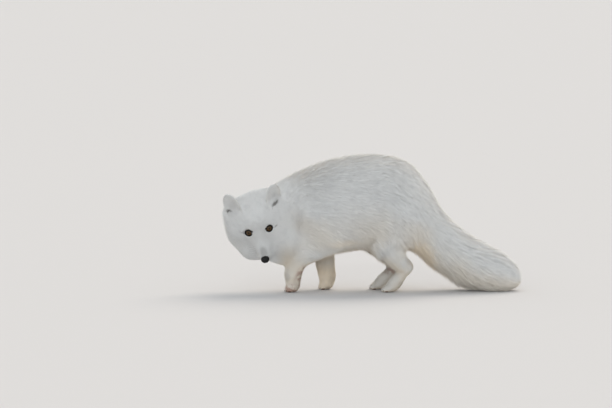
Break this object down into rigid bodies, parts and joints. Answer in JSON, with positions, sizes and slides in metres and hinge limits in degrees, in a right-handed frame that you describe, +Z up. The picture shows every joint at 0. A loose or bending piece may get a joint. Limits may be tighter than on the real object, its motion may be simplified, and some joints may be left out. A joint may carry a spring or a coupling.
{
  "type": "arctic fox",
  "caption": "Arctic fox in white winter coat, walking low with its head turned to its left, as a still, life-size museum model.",
  "frame": {"origin": "middle of the model's bounding box on the plane that the paws stand on", "axes": "+X from the head to the tail, +Y to the fox's right, +Z up"},
  "size_m": [0.7276, 0.2044, 0.3335],
  "materials": {
    "winter_fur": "dense soft white winter fur, matte",
    "eye": "dark amber-brown eye, glossy",
    "nose_leather": "black bare nose skin, slightly moist"
  },
  "bodies": {
    "root": {"head": "winter_fur", "ear_left": "winter_fur", "ear_right": "winter_fur", "eye_left": "eye", "eye_right": "eye", "nose": "nose_leather", "neck": "winter_fur", "trunk": "winter_fur", "hindquarters": "winter_fur", "tail_base": "winter_fur", "tail_middle": "winter_fur", "tail_tip": "winter_fur", "foreleg_left": "winter_fur", "forepaw_left": "winter_fur", "foreleg_right": "winter_fur", "forepaw_right": "winter_fur", "hindleg_left": "winter_fur", "hindpaw_left": "winter_fur", "hindleg_right": "winter_fur", "hindpaw_right": "winter_fur"}
  },
  "joints": []
}
